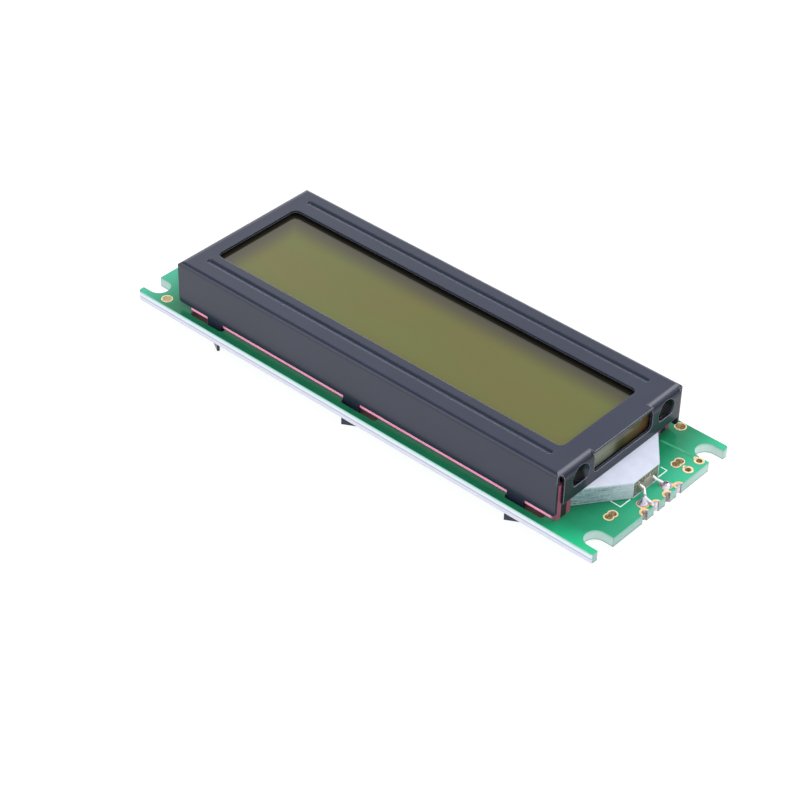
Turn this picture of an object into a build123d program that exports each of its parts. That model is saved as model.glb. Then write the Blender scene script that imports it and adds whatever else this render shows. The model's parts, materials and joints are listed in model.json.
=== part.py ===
"""Character LCD module: a bare display module on its own circuit board.

A black folded-steel bezel clamps the glass cell, two elastomer strips and an edge-lit light guide
to the board, with six tabs that pass through slots and are twisted under the board.
The module rests on the six tab tips. Millimetres; +X runs towards the end with the lamp,
+Y to the rear long side, +Z out of the display. The origin is under the middle of the board.
"""
from build123d import *
from math import cos, radians, sin
import os

# Board
board_length = 85.0
board_width = 30.0
board_thickness = 1.6
board_corner = 0.4
mount_slot_width = 3.4
mount_slot_depth = 3.25
mount_slot_inset = 2.8

# Plated holes
plating = 0.06
pad_thickness = 0.05
header_pitch = 2.54
header_rows = 7
header_bore = 0.5
header_pad = 0.88
header_inset = 3.6
corner_bore = 0.72
corner_pad = 0.87
left_hole_inset = (4.67, 1.37)
right_hole_inset = (7.38, 0.98)
link_bore = 0.46
link_pad = 0.76
link_inset = (1.12, 5.24)
oval_bore = 0.56
oval_pad = 0.74
oval_half_pitch = 0.42
oval_inset = 3.0
oval_ys = (-7.3, 7.45)
edge_pitch = 2.5
edge_bore = 0.5
edge_pad = 0.84
lamp_pad_inset = 1.36
lamp_pad_spacing = 5.1
lamp_pad_bore = 0.42
lamp_pad = 0.9

# Folded steel bezel
steel = 0.4
bezel_end_margin = 7.0
bezel_side_margin = 1.6
bezel_shift_y = -0.1
bezel_rise = 7.95
long_bend = 0.7
short_bend = 1.3
long_wall_gap = 0.88
short_wall_gap = 2.85
long_wall_left = 0.2
long_wall_rights = (0.55, 0.35)
short_wall_front = 0.95
corner_web = 0.4
wall_corner = 0.45
frame_left = 3.2
frame_right = 3.9
frame_front = 4.97
frame_rear = 5.43
window_corner = 1.0
bead_left = 3.2
bead_right = 4.0
bead_width = 0.95
bead_slope = 0.2
bead_wall = 0.12
bead_clearance = 0.03
bead_front = 3.2
bead_rear = 2.7
dimple_radius = 1.8
dimple_depth = 1.0
dimple_chord = 1.15
dimple_drop = 2.35
dimple_insets = (3.55, 3.1)
dimple_clearance = 0.06
port_length = 12.6
port_sill = 1.45
port_corner = 0.7
port_lip_setback = 0.1

# Tabs, and the slots that they pass through
tab_width = 2.8
tab_reach = 2.1
tab_twist_height = 0.9
tab_left_inset = 7.4
tab_middle = -1.25
tab_right_inset = 7.2
front_twists = (-30, 30, 30)
rear_twists = (35, 30, 60)
tab_slot_length = 6.6
tab_slot_width = 1.1
tab_slot_shifts = (-1.4, 1.7, 1.7)
tab_slot_outward = 0.15

# Glass cell
glass_end_gap = 1.15
glass_thickness = 1.1
glass_side_gap = 0.3
cell_gap = 0.05
seal_width = 1.2
front_polariser_thickness = 0.2
front_polariser_margin = 1.0
rear_polariser_thickness = 0.25
rear_polariser_margin = 0.6
cell_play = 0.35

# Elastomer strips
strip_left_gap = 1.8
strip_right_gaps = (0.15, 1.1)
strip_side = 0.87
strip_core = 1.15
strip_play = 0.05

# Light guide and its films
reflector_thickness = 0.1
diffuser_thickness = 0.7
guide_side_gap = 0.06
guide_left_inset = 1.9
guide_right_inset = 2.5
guide_play = 0.05
tongue_thickness = 2.6
tongue_shoulder_inset = 1.35
tongue_tip_inset = 3.0
tongue_tip_width = 5.7
tongue_shift_y = 0.15
tongue_corner = 0.4
film_thickness = 0.08
film_setback = 0.06

# Lamp
lamp_shift_y = 0.35
lamp_length = 2.2
lamp_width = 2.3
lamp_height = 1.9
lamp_pocket_wall = 0.2
lamp_pocket_roof = 0.15
lamp_pocket_length = 2.4
lead_radius = 0.2
lead_pitch = 2.9
lead_bend = 0.4
lead_front_height = 1.3
lead_front_run = 0.7
lead_front_sweep = 1.0
lead_front_ride = 0.55
lead_front_step = 0.6
lead_front_foot = 0.15
lead_rear_height = 1.0
lead_rear_run = 0.45
lead_rear_short = 0.45
lead_sag = 0.15
lamp_setback = 0.05
joint_front_radius = 1.0
joint_front_height = 0.85
joint_rear_radius = 0.85
joint_rear_height = 0.5
joint_rear_pit = 0.3
solder_fill = 0.28

# Parts on the underside
globtop_radius = 7.2
globtop_height = 1.4
controller_place = (-13.0, 0.5)
driver_place = (13.5, 0.5)
chip_length = 2.0
chip_width = 1.25
chip_cap = 0.35
resistor_height = 0.5
capacitor_height = 0.85
resistor_count = 5
resistor_pitch = 3.0
resistor_inset = 11.5
capacitor_count = 2
capacitor_pitch = 8.0
capacitor_inset = 15.5

# Levels, faces and places that follow from the sizes above
board_end = board_length / 2
board_side = board_width / 2
bezel_length = board_length - 2 * bezel_end_margin
bezel_width = board_width - 2 * bezel_side_margin
board_bottom = tab_reach
board_top = board_bottom + board_thickness
bezel_top = board_top + bezel_rise
sheet_bottom = bezel_top - steel
long_foot = board_top + long_wall_gap
short_foot = board_top + short_wall_gap
port_bottom = short_foot + port_sill
bezel_end = bezel_length / 2
short_wall_y = bezel_shift_y + (short_wall_front - long_bend) / 2
short_wall_half = bezel_width / 2 - (short_wall_front + long_bend) / 2
window_length = bezel_length - frame_left - frame_right
window_width = bezel_width - frame_front - frame_rear
window_x = (frame_left - frame_right) / 2
window_y = bezel_shift_y + (frame_front - frame_rear) / 2
bead_length = bezel_length - bead_left - bead_right
bead_x = (bead_left - bead_right) / 2
bead_ys = (bezel_shift_y - bezel_width / 2 + bead_front, bezel_shift_y + bezel_width / 2 - bead_rear)
dimple_ys = (
    short_wall_y - short_wall_half + dimple_insets[0],
    short_wall_y + short_wall_half - dimple_insets[1],
)
tab_xs = (-bezel_end + tab_left_inset, tab_middle, bezel_end - tab_right_inset)
mount_slot_end = board_end - mount_slot_depth
mount_slot_y = board_side - mount_slot_inset
glass_length = bezel_length - 2 * steel - 2 * glass_end_gap
strip_left = -bezel_end + steel + strip_left_gap
mount_slot_centre = mount_slot_end + mount_slot_width / 2
front_polariser_top = sheet_bottom - cell_play
front_glass_top = front_polariser_top - front_polariser_thickness
front_glass_bottom = front_glass_top - glass_thickness
rear_glass_top = front_glass_bottom - cell_gap
rear_glass_bottom = rear_glass_top - glass_thickness
rear_polariser_bottom = rear_glass_bottom - rear_polariser_thickness
diffuser_bottom = rear_polariser_bottom - diffuser_thickness
guide_top = diffuser_bottom - guide_play
guide_bottom = board_top + reflector_thickness
tongue_top = guide_bottom + tongue_thickness
bead_depth = sheet_bottom - front_glass_top - bead_clearance
strip_width = 2 * strip_side + strip_core
front_glass_width = bezel_width - 2 * steel - 2 * glass_side_gap
strip_inner = bezel_width / 2 - steel - strip_play - strip_width
cell_width = 2 * (strip_inner - glass_side_gap)
guide_width = cell_width - 2 * guide_side_gap
guide_left = -bezel_end + guide_left_inset
guide_right = bezel_end - guide_right_inset
tongue_shoulder = bezel_end - tongue_shoulder_inset
tongue_tip = board_end - tongue_tip_inset
tab_slot_offset = bezel_width / 2 - steel / 2 + tab_slot_outward
corner_hole_left = (-board_end + left_hole_inset[0], -board_side + left_hole_inset[1])
corner_hole_right = (board_end - right_hole_inset[0], board_side - right_hole_inset[1])
link_x = board_end - link_inset[0]
link_y = board_side - link_inset[1]
link_holes = [(link_x, link_y), (link_x, link_y - header_pitch)]
oval_holes = [(board_end - oval_inset, y) for y in oval_ys]
edge_ys = [edge_pitch * (i - 1.5) for i in range(4)]
lamp_pad_x = board_end - lamp_pad_inset
lamp_pads = [(lamp_pad_x, -lamp_pad_spacing / 2), (lamp_pad_x, lamp_pad_spacing / 2)]
header_x = -board_end + header_inset
lead_rest = board_top + pad_thickness + lead_radius
resistor_places = [
    (-board_end + resistor_inset, resistor_pitch * (i - (resistor_count - 1) / 2)) for i in range(resistor_count)
]
capacitor_places = [
    (board_end - capacitor_inset, capacitor_pitch * (i - (capacitor_count - 1) / 2)) for i in range(capacitor_count)
]


def header_grid():
    """Places of the two columns of header holes, behind the left end of the bezel."""
    columns = (header_x - header_pitch / 2, header_x + header_pitch / 2)
    rows = [header_pitch * (i - (header_rows - 1) / 2) for i in range(header_rows)]
    return [(x, y) for x in columns for y in rows]


def oval_lobes():
    """Two overlapping drill places for each oval hole, side by side along Y."""
    lobes = []
    for x, y in oval_holes:
        lobes.append((x, y - oval_half_pitch))
        lobes.append((x, y + oval_half_pitch))
    return lobes


def plated_holes(places, bore, pad):
    """Copper barrels with a flat pad on each face of the board."""
    levels = (
        (board_bottom - pad_thickness, pad_thickness, pad),
        (board_bottom, board_thickness, bore + plating),
        (board_top, pad_thickness, pad),
    )
    with BuildPart() as holes:
        for base, height, radius in levels:
            with BuildSketch(Plane.XY.offset(base)):
                with Locations(*places):
                    Circle(radius)
                with Locations(*places):
                    Circle(bore, mode=Mode.SUBTRACT)
            extrude(amount=height)
    return holes.part


def wall_section(plane, reach, foot, bend):
    """Section of a folded wall. The plane's x points out of the bezel and its y is up."""
    centre_x = reach - bend
    centre_y = bezel_top - bend
    inner = bend - steel
    with BuildSketch(plane) as section:
        with BuildLine():
            Line((centre_x, bezel_top), (centre_x, sheet_bottom))
            CenterArc((centre_x, centre_y), inner, 0, 90)
            Line((reach - steel, centre_y), (reach - steel, foot))
            Line((reach - steel, foot), (reach, foot))
            Line((reach, foot), (reach, centre_y))
            CenterArc((centre_x, centre_y), bend, 0, 90)
        make_face()
    return section.sketch


def lead_path(points):
    """A bent wire: straight runs with a round bend at each corner."""
    with BuildLine() as path:
        FilletPolyline(*points, radius=lead_bend)
    return path.line


# Circuit board: one drilled and routed plate
with BuildPart() as pcb:
    with BuildSketch(Plane.XY.offset(board_bottom)):
        RectangleRounded(board_length, board_width, board_corner)
        slot_run = mount_slot_depth + mount_slot_width
        slot_x = mount_slot_centre + slot_run / 2
        with GridLocations(2 * slot_x, 2 * mount_slot_y, 2, 2):
            SlotCenterToCenter(slot_run, mount_slot_width, mode=Mode.SUBTRACT)
        for tab_x, shift in zip(tab_xs, tab_slot_shifts):
            for side in (-1, 1):
                with Locations((tab_x + shift, bezel_shift_y + side * tab_slot_offset)):
                    SlotOverall(tab_slot_length, tab_slot_width, mode=Mode.SUBTRACT)
        with Locations(*header_grid()):
            Circle(header_bore + plating, mode=Mode.SUBTRACT)
        with Locations(corner_hole_left, corner_hole_right):
            Circle(corner_bore + plating, mode=Mode.SUBTRACT)
        with Locations(*link_holes):
            Circle(link_bore + plating, mode=Mode.SUBTRACT)
        with Locations(*oval_lobes()):
            Circle(oval_bore + plating, mode=Mode.SUBTRACT)
        with Locations(*lamp_pads):
            Circle(lamp_pad_bore + plating, mode=Mode.SUBTRACT)
        with Locations(*[(board_end, y) for y in edge_ys]):
            Circle(edge_bore + plating, mode=Mode.SUBTRACT)
    extrude(amount=board_thickness)
pcb.part.label = "pcb"

# Tools for the torn dimples, drawn on a wall's outer face with z pointing out of the wall
dimple_ball = (dimple_radius ** 2 + dimple_depth ** 2) / (2 * dimple_depth)
dimple_centre = (0, 0, dimple_ball - dimple_depth)
dimple_block = 2 * (dimple_ball + steel)
above_chord = (Align.CENTER, Align.MIN, Align.CENTER)
below_bend = (Align.CENTER, Align.MAX, Align.MAX)

with BuildPart() as dimple_hollow:
    with Locations(dimple_centre):
        Sphere(dimple_ball)
    with Locations((0, -dimple_chord, 0)):
        Box(dimple_block, dimple_block, 2 * dimple_block, align=above_chord, mode=Mode.INTERSECT)

with BuildPart() as bend_block:
    with Locations((0, dimple_drop - steel / 2, -steel / 2)):
        Box(2 * dimple_block, 2 * dimple_block, 2 * dimple_block, align=below_bend)
    fold = bend_block.edges().filter_by(Axis.X).group_by(Axis.Z)[-1].sort_by(Axis.Y)[-1]
    fillet(fold, radius=short_bend - steel / 2)

with BuildPart() as dimple_shell:
    with Locations(dimple_centre):
        Sphere(dimple_ball + steel)
        Sphere(dimple_ball, mode=Mode.SUBTRACT)
    with Locations((0, -dimple_chord, 0)):
        Box(dimple_block, dimple_block, 2 * dimple_block, align=above_chord, mode=Mode.INTERSECT)
    add(bend_block.part, mode=Mode.INTERSECT)

# Faces that carry the dimples: two in the lamp end wall, one in the other
dimple_faces = [
    Plane(origin=(side * bezel_end, y, bezel_top - dimple_drop), x_dir=(0, side, 0), z_dir=(side, 0, 0))
    for side, y in ((1, dimple_ys[0]), (1, dimple_ys[1]), (-1, dimple_ys[1]))
]

# Block with the outline of the bezel seen from the front, both upper corners bent over
with BuildPart() as end_bends:
    Box(bezel_length, 2 * board_width, bezel_top, align=(Align.CENTER, Align.CENTER, Align.MIN))
    fillet(end_bends.edges().filter_by(Axis.Y).group_by(Axis.Z)[-1], radius=short_bend)

# Top of the end bends, which closes the corners above their slits
with BuildPart() as corner_webs:
    for side in (-1, 1):
        out = Plane(origin=(0, bezel_shift_y, 0), x_dir=(side, 0, 0), z_dir=(0, -side, 0))
        extrude(wall_section(out, bezel_end, short_foot, short_bend), amount=bezel_width / 2 - long_bend, both=True)
    with Locations((0, bezel_shift_y, bezel_top)):
        Box(bezel_length, bezel_width, 2 * corner_web, mode=Mode.INTERSECT)

# Bezel: one steel sheet, pierced, beaded and folded on four sides
with BuildPart() as bezel:
    with BuildSketch(Plane.XY.offset(sheet_bottom)):
        with Locations((0, bezel_shift_y)):
            Rectangle(bezel_length - 2 * short_bend, bezel_width - 2 * long_bend)
        with Locations((window_x, window_y)):
            RectangleRounded(window_length, window_width, window_corner, mode=Mode.SUBTRACT)
    extrude(amount=steel)

    # Long walls, with their lower corners rounded and their upper ones bent over like the short walls
    for side, long_wall_right in zip((-1, 1), long_wall_rights):
        wall_x = (long_wall_left - long_wall_right) / 2
        wall_half = bezel_end - (long_wall_left + long_wall_right) / 2
        out = Plane(origin=(wall_x, bezel_shift_y, 0), x_dir=(0, side, 0), z_dir=(side, 0, 0))
        extrude(wall_section(out, bezel_width / 2, long_foot, long_bend), amount=wall_half, both=True)
    foot_corners = bezel.edges().filter_by(Axis.Y).group_by(Axis.Z)[0]
    fillet(foot_corners, radius=wall_corner)
    add(end_bends.part, mode=Mode.INTERSECT)

    # Short walls stop higher, clear of the light guide
    for side in (-1, 1):
        out = Plane(origin=(0, short_wall_y, 0), x_dir=(side, 0, 0), z_dir=(0, -side, 0))
        extrude(wall_section(out, bezel_end, short_foot, short_bend), amount=short_wall_half, both=True)
    add(corner_webs.part)

    # Port in the lamp end wall: the sheet above it stays flat to its edge
    with BuildSketch(Plane.YZ.offset(bezel_end - short_bend)):
        port_height = bezel_top - port_bottom + port_corner
        with Locations((0, port_bottom + port_height / 2)):
            RectangleRounded(port_length, port_height, port_corner)
    extrude(amount=2 * short_bend, mode=Mode.SUBTRACT)
    with BuildSketch(Plane.XY.offset(sheet_bottom)):
        with Locations((bezel_end - short_bend, 0)):
            Rectangle(short_bend - port_lip_setback, port_length, align=(Align.MIN, Align.CENTER))
    extrude(amount=steel)

    # Round dimples pressed into the end walls, torn open along their lower edge
    for face in dimple_faces:
        with Locations(face):
            add(dimple_hollow.part, mode=Mode.SUBTRACT)
            add(dimple_shell.part)

    # Beads pressed along the front and rear of the frame, down onto the glass
    for bead_y in bead_ys:
        for level, growth, mode in ((sheet_bottom, bead_wall, Mode.ADD), (bezel_top, 0, Mode.SUBTRACT)):
            for height, slope in ((level, 0), (level - bead_depth, bead_slope)):
                with BuildSketch(Plane.XY.offset(height)):
                    with Locations((bead_x, bead_y)):
                        reach = 2 * (growth - slope)
                        SlotOverall(bead_length + reach, bead_width + reach)
            loft(mode=mode)

    # Tabs: straight through the slots, then twisted under the board
    for side, twists in ((-1, front_twists), (1, rear_twists)):
        tab_y = bezel_shift_y + side * (bezel_width / 2 - steel / 2)
        for tab_x, twist in zip(tab_xs, twists):
            with BuildSketch(Plane.XY.offset(board_bottom)):
                with Locations((tab_x, tab_y)):
                    Rectangle(tab_width, steel)
            extrude(amount=long_foot - board_bottom)
            turns = 5
            for step in range(turns + 1):
                angle = radians(twist * step / turns)
                height = board_bottom - tab_twist_height * step / turns
                level = Plane(origin=(tab_x, tab_y, height), x_dir=(cos(angle), sin(angle), 0), z_dir=(0, 0, 1))
                with BuildSketch(level):
                    Rectangle(tab_width, steel)
            loft(ruled=True)
            with BuildSketch(level):
                Rectangle(tab_width, steel)
            extrude(amount=-(tab_reach - tab_twist_height))
bezel.part.label = "bezel"

# Glass cell, from the front: polariser, glass, seal, glass, reflecting polariser
with BuildPart() as front_polariser:
    with BuildSketch(Plane.XY.offset(front_polariser_top - front_polariser_thickness)):
        with Locations((window_x, window_y)):
            Rectangle(window_length + 2 * front_polariser_margin, window_width + 2 * front_polariser_margin)
    extrude(amount=front_polariser_thickness)
front_polariser.part.label = "front_polariser"

with BuildPart() as front_glass:
    with BuildSketch(Plane.XY.offset(front_glass_bottom)):
        with Locations((0, bezel_shift_y)):
            Rectangle(glass_length, front_glass_width)
    extrude(amount=glass_thickness)
    chamfer(front_glass.edges().filter_by(Axis.X), length=0.12)
front_glass.part.label = "front_glass"

with BuildPart() as cell_seal:
    with BuildSketch(Plane.XY.offset(rear_glass_top)):
        with Locations((0, bezel_shift_y)):
            Rectangle(glass_length, cell_width)
            Rectangle(glass_length - 2 * seal_width, cell_width - 2 * seal_width, mode=Mode.SUBTRACT)
    extrude(amount=cell_gap)
cell_seal.part.label = "cell_seal"

with BuildPart() as rear_glass:
    with BuildSketch(Plane.XY.offset(rear_glass_bottom)):
        with Locations((0, bezel_shift_y)):
            Rectangle(glass_length, cell_width)
    extrude(amount=glass_thickness)
rear_glass.part.label = "rear_glass"

with BuildPart() as rear_polariser:
    with BuildSketch(Plane.XY.offset(rear_polariser_bottom)):
        with Locations((0, bezel_shift_y)):
            Rectangle(glass_length - 2 * rear_polariser_margin, cell_width - 2 * rear_polariser_margin)
    extrude(amount=rear_polariser_thickness)
rear_polariser.part.label = "rear_polariser"

# Back light: opal plate, clear guide with its tongue, white films
with BuildPart() as diffuser_plate:
    with BuildSketch(Plane.XY.offset(diffuser_bottom)):
        with Locations((0, bezel_shift_y)):
            Rectangle(glass_length, cell_width)
    extrude(amount=diffuser_thickness)
diffuser_plate.part.label = "diffuser_plate"

tongue_outline = [
    (guide_right, -guide_width / 2),
    (tongue_shoulder, -guide_width / 2),
    (tongue_tip, tongue_shift_y - tongue_tip_width / 2),
    (tongue_tip, tongue_shift_y + tongue_tip_width / 2),
    (tongue_shoulder, guide_width / 2),
    (guide_right, guide_width / 2),
]

with BuildPart() as light_guide:
    with BuildSketch(Plane.XY.offset(guide_bottom)):
        with Locations((guide_left, 0)):
            Rectangle(guide_right - guide_left, guide_width, align=(Align.MIN, Align.CENTER))
    extrude(amount=guide_top - guide_bottom)
    with BuildSketch(Plane.XY.offset(guide_bottom)) as tongue:
        with BuildLine():
            Polyline(*tongue_outline, close=True)
        make_face()
        fillet(tongue.vertices().group_by(Axis.X)[-1], radius=tongue_corner)
    extrude(amount=tongue_thickness)
    with BuildSketch(Plane.XY.offset(guide_bottom)):
        pocket_width = tongue_tip_width - 2 * lamp_pocket_wall
        with Locations((tongue_tip, tongue_shift_y)):
            Rectangle(lamp_pocket_length, pocket_width, align=(Align.MAX, Align.CENTER))
    extrude(amount=tongue_thickness - lamp_pocket_roof, mode=Mode.SUBTRACT)
light_guide.part.label = "light_guide"

with BuildPart() as reflector_film:
    with BuildSketch(Plane.XY.offset(board_top)):
        with Locations((guide_left, 0)):
            Rectangle(tongue_shoulder - guide_left, guide_width, align=(Align.MIN, Align.CENTER))
    extrude(amount=reflector_thickness)
reflector_film.part.label = "reflector_film"

with BuildPart() as tongue_film:
    with BuildSketch(Plane.XY.offset(tongue_top)) as film:
        with BuildLine():
            Polyline(*tongue_outline, close=True)
        make_face()
        fillet(film.vertices().group_by(Axis.X)[-1], radius=tongue_corner)
        offset(amount=-film_setback)
    extrude(amount=film_thickness)
tongue_film.part.label = "tongue_film"

# Lamp: an arched side-firing package, potted into the tongue
lamp_back = tongue_tip - lamp_setback
with BuildPart() as led_package:
    with BuildSketch(Plane.YZ.offset(lamp_back - lamp_length)):
        arch = lamp_width / 2
        with Locations((lamp_shift_y, guide_bottom + (lamp_height - arch) / 2)):
            Rectangle(lamp_width, lamp_height - arch)
        with Locations((lamp_shift_y, guide_bottom + lamp_height - arch)):
            Circle(arch)
        with Locations((lamp_shift_y, guide_bottom)):
            Rectangle(lamp_width, lamp_height, align=(Align.CENTER, Align.MIN), mode=Mode.INTERSECT)
    extrude(amount=lamp_length)
led_package.part.label = "led_package"

lead_front_y = lamp_shift_y - lead_pitch / 2
lead_rear_y = lamp_shift_y + lead_pitch / 2
lead_front_z = guide_bottom + lead_front_height
lead_rear_z = guide_bottom + lead_rear_height
lead_foot_y = edge_ys[1] - edge_pad + lead_radius / 2
front_lead_points = [
    (lamp_back, lead_front_y, lead_front_z),
    (lamp_back + lead_front_run, lead_front_y, lead_front_z - lead_sag),
    (lamp_pad_x, lead_front_y - lead_front_sweep, lead_rest + lead_front_ride),
    (lamp_pad_x + lead_front_step, edge_ys[1] - edge_bore, lead_rest),
    (board_end - lead_front_foot, lead_foot_y, lead_rest),
]
rear_lead_points = [
    (lamp_back, lead_rear_y, lead_rear_z),
    (lamp_back + lead_rear_run, lead_rear_y, lead_rear_z - lead_sag),
    (lamp_pad_x - lead_rear_short, lamp_pads[1][1], lead_rest),
]

with BuildPart() as led_lead_front:
    wire = lead_path(front_lead_points)
    with BuildSketch(Plane(origin=wire @ 0, z_dir=wire % 0)):
        Circle(lead_radius)
    sweep(path=wire)
led_lead_front.part.label = "led_lead_front"

with BuildPart() as led_lead_rear:
    wire = lead_path(rear_lead_points)
    with BuildSketch(Plane(origin=wire @ 0, z_dir=wire % 0)):
        Circle(lead_radius)
    sweep(path=wire)
led_lead_rear.part.label = "led_lead_rear"

with BuildPart() as led_potting:
    with BuildSketch(Plane.XY.offset(guide_bottom)):
        with Locations((tongue_tip, tongue_shift_y)):
            Rectangle(lamp_pocket_length, pocket_width, align=(Align.MAX, Align.CENTER))
    extrude(amount=tongue_thickness - lamp_pocket_roof)
    add(led_package.part, mode=Mode.SUBTRACT)
    add(led_lead_front.part, mode=Mode.SUBTRACT)
    add(led_lead_rear.part, mode=Mode.SUBTRACT)
led_potting.part.label = "led_potting"

# Solder on the two lamp pads
joint_base = board_top + pad_thickness


def solder_dome(place, radius, height):
    """A solder fillet: a low cap with a flat foot."""
    ball = (radius * radius + height * height) / (2 * height)
    with BuildPart() as dome:
        with Locations((place[0], place[1], joint_base + height - ball)):
            Sphere(ball)
        with Locations((place[0], place[1], joint_base)):
            Box(2 * radius, 2 * radius, height, align=(Align.CENTER, Align.CENTER, Align.MIN), mode=Mode.INTERSECT)
    return dome.part


with BuildPart() as solder_joint_front:
    add(solder_dome(lamp_pads[0], joint_front_radius, joint_front_height))
    add(led_lead_front.part, mode=Mode.SUBTRACT)
solder_joint_front.part.label = "solder_joint_front"

with BuildPart() as solder_joint_rear:
    add(solder_dome(lamp_pads[1], joint_rear_radius, joint_rear_height))
    add(led_lead_rear.part, mode=Mode.SUBTRACT)
    with Locations((*lamp_pads[1], joint_base)):
        Cylinder(joint_rear_pit, joint_rear_height, align=(Align.CENTER, Align.CENTER, Align.MIN), mode=Mode.SUBTRACT)
solder_joint_rear.part.label = "solder_joint_rear"


def press_dimples():
    """Hollows where the bezel's dimples press into a strip's end."""
    with Locations(*dimple_faces):
        with Locations(dimple_centre):
            Sphere(dimple_ball + steel + dimple_clearance, mode=Mode.SUBTRACT)


# Elastomer strips: a striped core between two soft pink sides, one strip on each long side
for side, end_name, right_gap in ((-1, "front", strip_right_gaps[0]), (1, "rear", strip_right_gaps[1])):
    core_y = bezel_shift_y + side * (strip_inner + strip_width / 2)
    strip_length = bezel_end - steel - right_gap - strip_left
    with BuildPart() as zebra_core:
        with BuildSketch(Plane.XY.offset(board_top)):
            with Locations((strip_left, core_y)):
                Rectangle(strip_length, strip_core, align=(Align.MIN, Align.CENTER))
        extrude(amount=front_glass_bottom - board_top)
        press_dimples()
    zebra_core.part.label = "zebra_core_" + end_name
    side_step = (strip_core + strip_side) / 2
    with BuildPart() as zebra_sides:
        with BuildSketch(Plane.XY.offset(board_top)):
            with Locations((strip_left, core_y - side_step), (strip_left, core_y + side_step)):
                Rectangle(strip_length, strip_side, align=(Align.MIN, Align.CENTER))
        extrude(amount=front_glass_bottom - board_top)
        press_dimples()
    zebra_sides.part.label = "zebra_sides_" + end_name
    if side < 0:
        front_strip = (zebra_core.part, zebra_sides.part)
    else:
        rear_strip = (zebra_core.part, zebra_sides.part)

# Copper: plated holes of the board
header_eyelets = plated_holes(header_grid(), header_bore, header_pad)
header_eyelets.label = "header_eyelets"
corner_eyelets = plated_holes([corner_hole_left, corner_hole_right], corner_bore, corner_pad)
corner_eyelets.label = "corner_eyelets"
link_eyelets = plated_holes(link_holes, link_bore, link_pad)
link_eyelets.label = "link_eyelets"
oval_eyelets = plated_holes(oval_lobes(), oval_bore, oval_pad)
oval_eyelets.label = "oval_eyelets"

# The edge contacts are plated holes that the board's end cuts through, joined to the lamp pads
with BuildPart() as edge_contacts:
    add(plated_holes([(board_end, y) for y in edge_ys], edge_bore, edge_pad))
    add(plated_holes(lamp_pads, lamp_pad_bore, lamp_pad))
    with Locations((board_end, 0, board_bottom)):
        Box(2 * edge_pad, board_width, 3 * board_thickness, align=(Align.MIN, Align.CENTER, Align.CENTER),
            mode=Mode.SUBTRACT)
edge_contacts.part.label = "edge_contacts"

# Solder left in two of the edge grooves, as a thin lining that hollows towards the board's end
with BuildPart() as edge_solder:
    with BuildSketch(Plane.XY.offset(board_bottom)):
        with Locations((board_end, edge_ys[1]), (board_end, edge_ys[3])):
            Circle(edge_bore)
        with Locations((board_end, 0)):
            Rectangle(edge_bore, board_width, align=(Align.MAX, Align.CENTER), mode=Mode.INTERSECT)
        with Locations((board_end + solder_fill, edge_ys[1]), (board_end + solder_fill, edge_ys[3])):
            Circle(edge_bore + solder_fill / 2, mode=Mode.SUBTRACT)
    extrude(amount=board_thickness + pad_thickness)
edge_solder.part.label = "edge_solder"


def globtop(place):
    """A low black cap of resin over a bare chip, under the board."""
    ball = (globtop_radius ** 2 + globtop_height ** 2) / (2 * globtop_height)
    with BuildPart() as cap:
        with Locations((place[0], place[1], board_bottom - globtop_height + ball)):
            Sphere(ball)
        with Locations((place[0], place[1], board_bottom)):
            Box(2 * globtop_radius, 2 * globtop_radius, globtop_height,
                align=(Align.CENTER, Align.CENTER, Align.MAX), mode=Mode.INTERSECT)
    return cap.part


controller_globtop = globtop(controller_place)
controller_globtop.label = "controller_globtop"
driver_globtop = globtop(driver_place)
driver_globtop.label = "driver_globtop"

# Chip resistors and capacitors, with metal end caps
with BuildPart() as chip_resistors:
    with Locations(*[(x, y, board_bottom) for x, y in resistor_places]):
        Box(chip_length - 2 * chip_cap, chip_width, resistor_height, align=(Align.CENTER, Align.CENTER, Align.MAX))
chip_resistors.part.label = "chip_resistors"

with BuildPart() as chip_capacitors:
    with Locations(*[(x, y, board_bottom) for x, y in capacitor_places]):
        Box(chip_length - 2 * chip_cap, chip_width, capacitor_height, align=(Align.CENTER, Align.CENTER, Align.MAX))
chip_capacitors.part.label = "chip_capacitors"

with BuildPart() as chip_terminals:
    for places, height in ((resistor_places, resistor_height), (capacitor_places, capacitor_height)):
        for end in (-1, 1):
            cap_x = end * (chip_length - chip_cap) / 2
            with Locations(*[(x + cap_x, y, board_bottom) for x, y in places]):
                Box(chip_cap, chip_width, height, align=(Align.CENTER, Align.CENTER, Align.MAX))
chip_terminals.part.label = "chip_terminals"

# One STEP file for each piece
os.makedirs("parts", exist_ok=True)
pieces = [
    pcb.part, bezel.part, front_polariser.part, front_glass.part, cell_seal.part, rear_glass.part,
    rear_polariser.part, diffuser_plate.part, light_guide.part, reflector_film.part, tongue_film.part,
    led_package.part, led_lead_front.part, led_lead_rear.part, led_potting.part,
    solder_joint_front.part, solder_joint_rear.part, *front_strip, *rear_strip,
    header_eyelets, corner_eyelets, link_eyelets, oval_eyelets, edge_contacts.part, edge_solder.part,
    controller_globtop, driver_globtop, chip_resistors.part, chip_capacitors.part, chip_terminals.part,
]
for piece in pieces:
    export_step(piece, "parts/" + piece.label + ".step")
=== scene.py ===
"""Looks of the character display module: materials, fine detail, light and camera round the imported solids."""

import json
from math import cos, pi, radians, sin

import bmesh
import bpy
from mathutils import Matrix, Vector


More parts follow.
